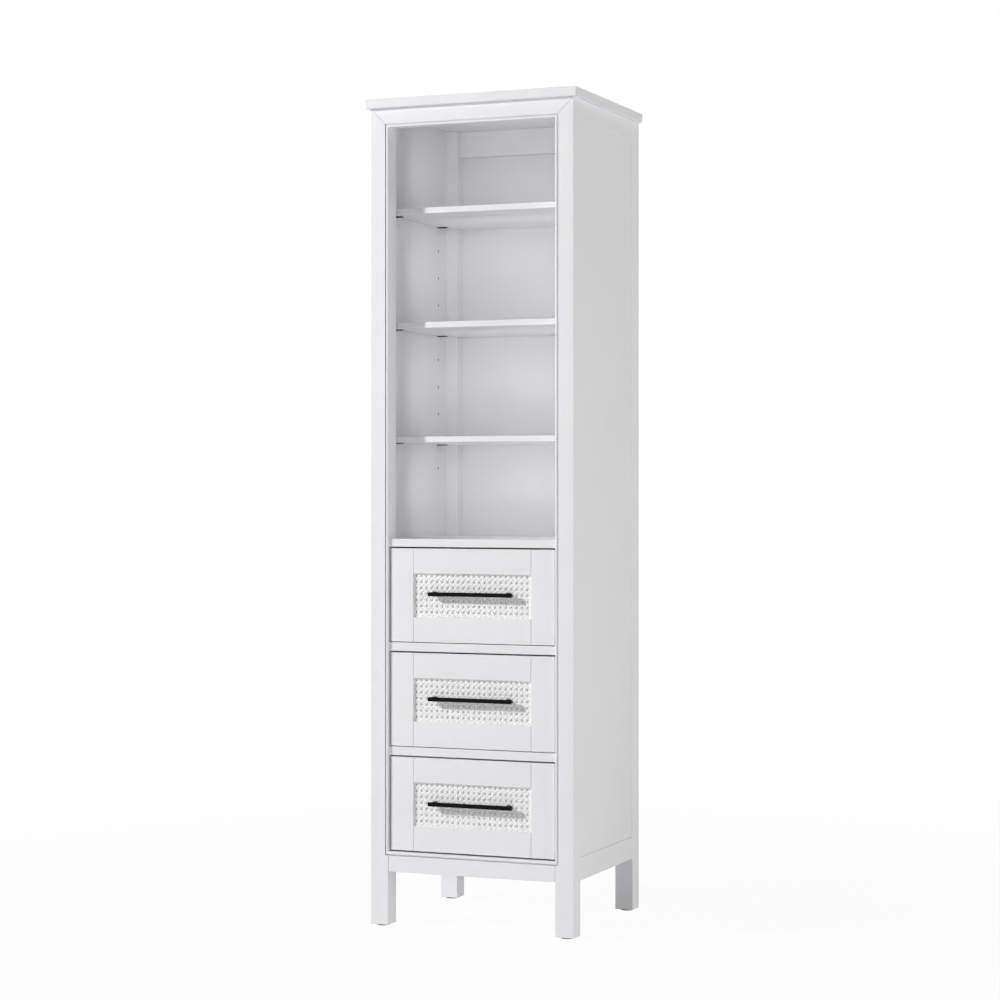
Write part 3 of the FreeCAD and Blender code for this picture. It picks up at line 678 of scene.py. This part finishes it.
def make_shaded_pin_sleeves():
    """Dark board inside the pin holes that hold no support, raw board deepened well past its own colour as
    painted shade in the holes: a thin cup, repeated by row and column.
    """
    start_piece()
    bpy.ops.mesh.primitive_cylinder_add(
        vertices=SLEEVE_SIDES, radius=SLEEVE_RADIUS, depth=SLEEVE_DEPTH, location=(0, 0, -SLEEVE_DEPTH / 2)
    )
    sleeve = bpy.context.object
    settle(sleeve)
    bpy.ops.object.mode_set(mode="EDIT")
    select_parts(sleeve, "faces", lambda face: face.normal.z > FACING)
    bpy.ops.mesh.inset(thickness=SLEEVE_WALL)
    drop = SLEEVE_WALL - SLEEVE_DEPTH
    bpy.ops.mesh.extrude_region_move(TRANSFORM_OT_translate={"value": (0, 0, drop)})
    bpy.ops.object.mode_set(mode="OBJECT")
    dress(sleeve, raw_board_and_shade)
    low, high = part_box("shelf_supports")
    columns = (low.y + SUPPORT_WIDTH / 2, high.y - SUPPORT_WIDTH / 2)
    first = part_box("shelf_lower")[0].z + PIN_RISE - PIN_PITCH
    faces = ((1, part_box("side_panel_left")[1].x), (-1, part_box("side_panel_right")[0].x))
    sleeves = []
    for side, face in faces:
        for along in columns:
            for row in range(PIN_ROWS):
                if row in SHELF_ROWS:
                    continue
                one = copy_piece(sleeve, "pin_sleeve_copy")
                one.rotation_euler.y = side * QUARTER
                one.location = (face - side * SLEEVE_SETBACK, along, first + row * PIN_PITCH)
                settle(one)
                sleeves.append(one)
    bpy.data.objects.remove(sleeve)
    holes = join("pin_hole_shade_sleeves", sleeves)
    bpy.ops.object.shade_smooth_by_angle(angle=ROUND_SMOOTH_ANGLE)
    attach(holes, "cabinet")


# Screws


def make_screw(name, head, height, shank, length):
    """A pan head screw along +Z with its seat at the origin, a domed head and a cross recess."""
    start_piece()
    bpy.ops.mesh.primitive_cylinder_add(
        vertices=SCREW_SIDES, radius=head, depth=height, location=(0, 0, height / 2)
    )
    screw = bpy.context.object
    screw.name = name
    settle(screw)
    bpy.ops.object.mode_set(mode="EDIT")
    select_parts(screw, "edges", lambda edge: all(v.co.z > height / 2 for v in edge.verts))
    bpy.ops.mesh.bevel(offset=height * DOME_SHARE, segments=DOME_SEGMENTS, profile=DOME_PROFILE)
    select_parts(screw, "faces", lambda face: face.normal.z < -FACING)
    bpy.ops.mesh.inset(thickness=head - shank)
    bpy.ops.mesh.extrude_region_move(TRANSFORM_OT_translate={"value": (0, 0, -length)})
    bpy.ops.transform.resize(value=(SCREW_TIP_SHARE, SCREW_TIP_SHARE, 1))
    bpy.ops.object.mode_set(mode="OBJECT")

    bars = []
    for turn in (0, QUARTER):
        start_piece()
        bpy.ops.mesh.primitive_cube_add(size=1, location=(0, 0, height), rotation=(0, 0, turn))
        bar = bpy.context.object
        bar.scale = (head * RECESS_REACH_SHARE, head * RECESS_WIDTH_SHARE, 2 * height * RECESS_DEPTH_SHARE)
        settle(bar)
        bars.append(bar)
    for bar in bars:
        apply_modifier(screw, "BOOLEAN", operation="DIFFERENCE", object=bar, solver="EXACT")
        bpy.data.objects.remove(bar)
    pick(screw)
    bpy.ops.object.shade_smooth_by_angle(angle=SCREW_SMOOTH_ANGLE)
    dress(screw, zinc_steel)
    return screw


def make_pull_screws():
    """Replace the plain pull screws by ones with a cross recess."""
    low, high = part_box("drawer_lower_pull_screws")
    seat = high.y - PULL_SCREW_HEAD_HEIGHT
    model = make_screw("pull_screw", PULL_SCREW_HEAD, PULL_SCREW_HEAD_HEIGHT, PULL_SCREW_SHANK, seat - low.y)
    model.rotation_euler.x = -QUARTER
    settle(model)
    for drawer in DRAWERS:
        node = f"{drawer}_pull_screws"
        low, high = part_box(node)
        middle = (low.z + high.z) / 2
        pair = []
        for across in (low.x + PULL_SCREW_HEAD, high.x - PULL_SCREW_HEAD):
            pair.append(copy_piece(model, "pull_screw_copy", (across, seat, middle)))
        screws = join(f"{drawer}_pull_fixings", pair)
        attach(screws, drawer)
        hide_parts(node)
    bpy.data.objects.remove(model)


def make_slide_screws():
    """Three small screws along each inner slide member, which hold it to the drawer's side."""
    model = make_screw(
        "slide_screw", SLIDE_SCREW_HEAD, SLIDE_SCREW_HEAD_HEIGHT, SLIDE_SCREW_SHANK, SLIDE_SCREW_LENGTH
    )
    for drawer in DRAWERS:
        low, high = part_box(f"{drawer}_slide_inner")
        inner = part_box(f"{drawer}_box_sides")
        middle = (low.z + high.z) / 2
        row = []
        for side, face in ((-1, inner[0].x - SLIDE_WEB), (1, inner[1].x + SLIDE_WEB)):
            for share in SLIDE_SCREW_SHARES:
                along = low.y + share * (high.y - low.y)
                one = copy_piece(model, "slide_screw_copy")
                one.rotation_euler.y = side * QUARTER
                one.location = (face, along, middle)
                settle(one)
                row.append(one)
        screws = join(f"{drawer}_slide_screws", row)
        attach(screws, drawer)
    bpy.data.objects.remove(model)


# Studio


def seen_by_camera(tree):
    """One for rays from the camera, from gloss and through glass, zero for diffuse light."""
    path = add(tree, "LightPath")
    seen = math_node(tree, "MAXIMUM", path.outputs["Is Camera Ray"], path.outputs["Is Glossy Ray"])
    return math_node(tree, "MAXIMUM", seen, path.outputs["Is Transmission Ray"])


def make_floor():
    """A plain pale floor that fades to white for the camera and keeps the cabinet's shadow."""
    start_piece()
    bpy.ops.mesh.primitive_plane_add(size=FLOOR_SIZE, location=(0, 0, 0))
    floor = bpy.context.object
    floor.name = "studio_floor"
    material = bpy.data.materials.new("studio_floor")
    material.use_nodes = True
    tree = material.node_tree
    tree.nodes.clear()
    matt = add(tree, "BsdfDiffuse", {}, {"Color": FLOOR_COLOUR})
    glow = add(tree, "Emission", {}, {"Color": PURE_WHITE, "Strength": 1.0})
    place = add(tree, "TexCoord").outputs["Object"]
    away = add(tree, "VectorMath", {"operation": "LENGTH"}, {0: place}).outputs["Value"]
    ends = {
        "From Min": FLOOR_FADE_FROM,
        "From Max": FLOOR_FADE_TO,
        "To Min": FLOOR_WHITE_NEAR,
        "To Max": 1.0,
    }
    fade = add(tree, "MapRange", {"interpolation_type": "SMOOTHSTEP"}, {"Value": away, **ends})
    share = math_node(tree, "MULTIPLY", seen_by_camera(tree), fade.outputs["Result"])
    mix = add(tree, "MixShader", {}, {0: share, 1: matt.outputs[0], 2: glow.outputs[0]})
    output = add(tree, "OutputMaterial")
    tree.links.new(mix.outputs[0], output.inputs["Surface"])
    dress(floor, material)


def make_world():
    """White surroundings for the camera and a soft even light for the cabinet."""
    world = bpy.data.worlds.new("studio")
    bpy.context.scene.world = world
    world.use_nodes = True
    tree = world.node_tree
    tree.nodes.clear()
    soft = add(tree, "Background", {}, {"Color": AMBIENT_COLOUR, "Strength": AMBIENT})
    white = add(tree, "Background", {}, {"Color": PURE_WHITE, "Strength": 1.0})
    mix = add(tree, "MixShader", {}, {0: seen_by_camera(tree), 1: soft.outputs[0], 2: white.outputs[0]})
    output = add(tree, "OutputWorld")
    tree.links.new(mix.outputs[0], output.inputs["Surface"])


def add_softbox(name, place, target, width, height, watts, spread=math.pi):
    """A rectangular studio lamp that looks at a point."""
    start_piece()
    bpy.ops.object.light_add(type="AREA", location=place)
    lamp = bpy.context.object
    lamp.name = name
    lamp.data.shape = "RECTANGLE"
    lamp.data.size = width
    lamp.data.size_y = height
    lamp.data.energy = watts
    lamp.data.spread = spread
    way = Vector(target) - lamp.location
    lamp.rotation_euler = way.to_track_quat("-Z", "Y").to_euler()


def make_lamps():
    """A small key lamp at the left and soft fills in front, low down, at the right, behind and above."""
    for name, settings in LAMPS.items():
        add_softbox(name, *settings)


def make_bay_lamps():
    """A weak soft lamp in the front of each shelf bay, which looks at the back panel."""
    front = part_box("shelf_lower")[0].y + BAY_LAMP_SETBACK
    for lower, upper, watts in zip(BAY_BOARDS, BAY_BOARDS[1:], BAY_WATTS):
        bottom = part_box(lower)[1].z
        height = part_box(upper)[0].z - bottom
        middle = bottom + height / 2
        size = (BAY_LAMP_WIDTH, BAY_LAMP_HEIGHT_SHARE * height)
        add_softbox(f"{lower}_bay_fill", (0, front, middle), (0, 0, middle), *size, watts, BAY_LAMP_SPREAD)


def make_camera():
    """The photograph's level camera, its frame moved down by a small shift."""
    start_piece()
    bpy.ops.object.camera_add(location=CAMERA_PLACE, rotation=CAMERA_TURN)
    camera = bpy.context.object
    camera.name = "photo_camera"
    camera.data.sensor_width = CAMERA_SENSOR
    camera.data.lens = CAMERA_LENS
    camera.data.shift_y = -CAMERA_SHIFT_DOWN
    camera.data.clip_end = CAMERA_REACH
    bpy.context.scene.camera = camera


dress_cad_nodes()
make_cane_webbing()
make_shaded_pin_sleeves()
make_pull_screws()
make_slide_screws()
make_floor()
make_world()
make_lamps()
make_bay_lamps()
make_camera()
bpy.context.scene.view_settings.view_transform = "Standard"
